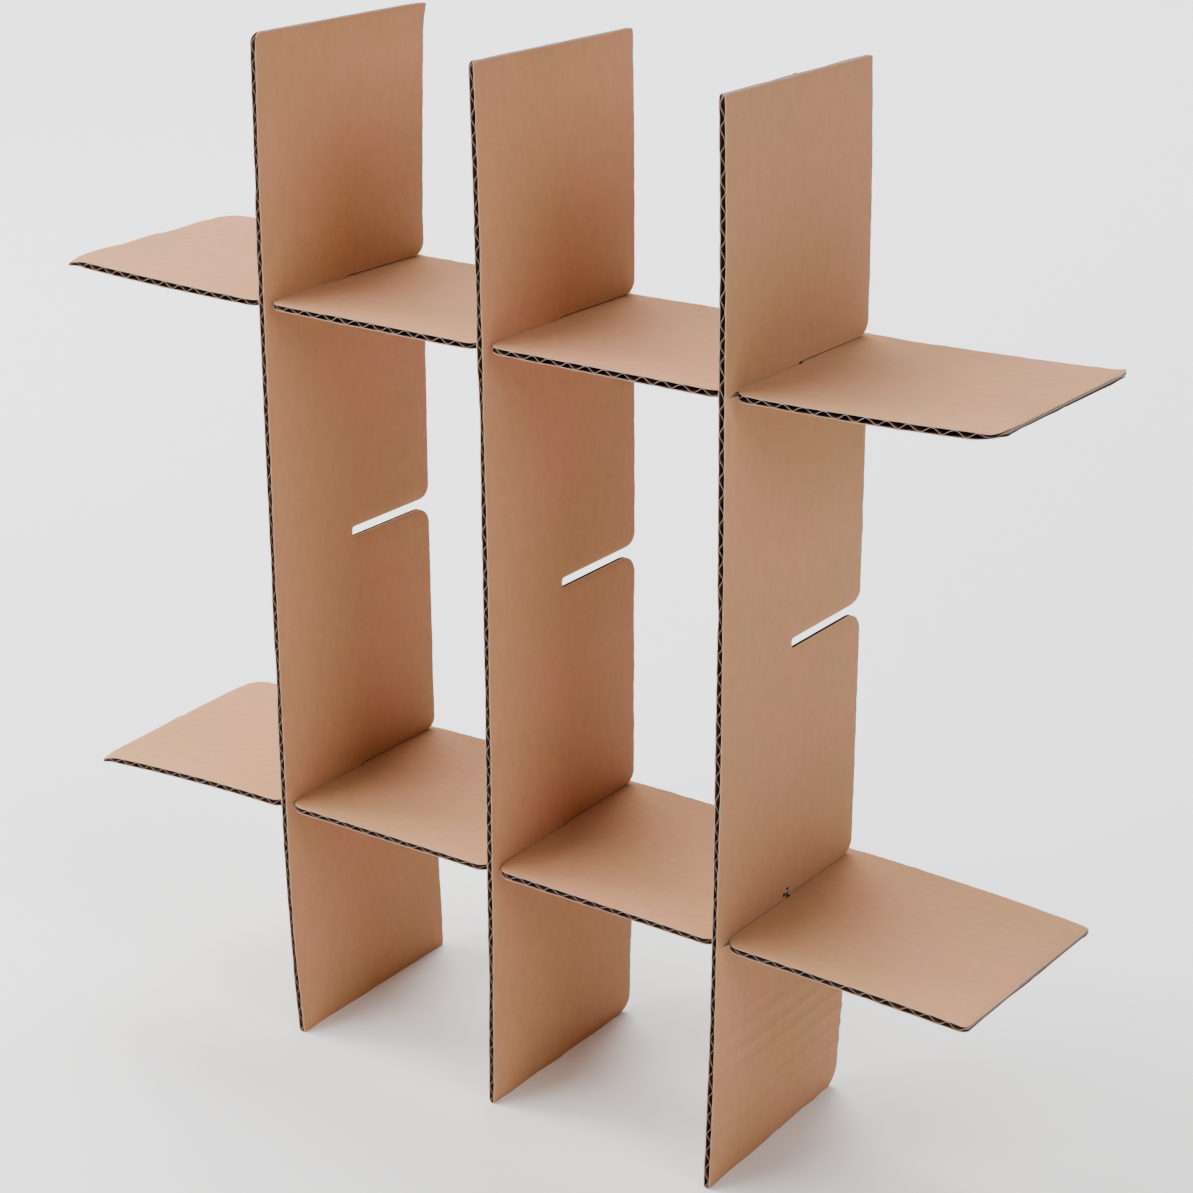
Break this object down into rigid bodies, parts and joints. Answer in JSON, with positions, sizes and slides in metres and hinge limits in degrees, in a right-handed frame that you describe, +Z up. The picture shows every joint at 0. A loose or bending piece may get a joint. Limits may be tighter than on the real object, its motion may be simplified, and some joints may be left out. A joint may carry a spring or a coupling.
{
  "type": "bottle divider insert",
  "caption": "Slotted corrugated board strips interlocked crosswise into a divider that keeps bottles apart in a shipping box.",
  "frame": {"origin": "middle of the bottom of the insert as it stands on the lower ends of the long strips", "axes": "+X along the cross strips to the right of the picture, +Y through the depth of the strips from front to back, along the flutes and the bottles, +Z up the long strips"},
  "size_m": [0.329, 0.075, 0.329],
  "materials": {
    "kraft_board": "matt brown kraft liner over a fluted medium that shows at the cut edges"
  },
  "bodies": {
    "root": {"long_strip_left": "kraft_board", "long_strip_middle": "kraft_board", "long_strip_right": "kraft_board", "cross_strip_lower": "kraft_board", "cross_strip_upper": "kraft_board"}
  },
  "joints": []
}
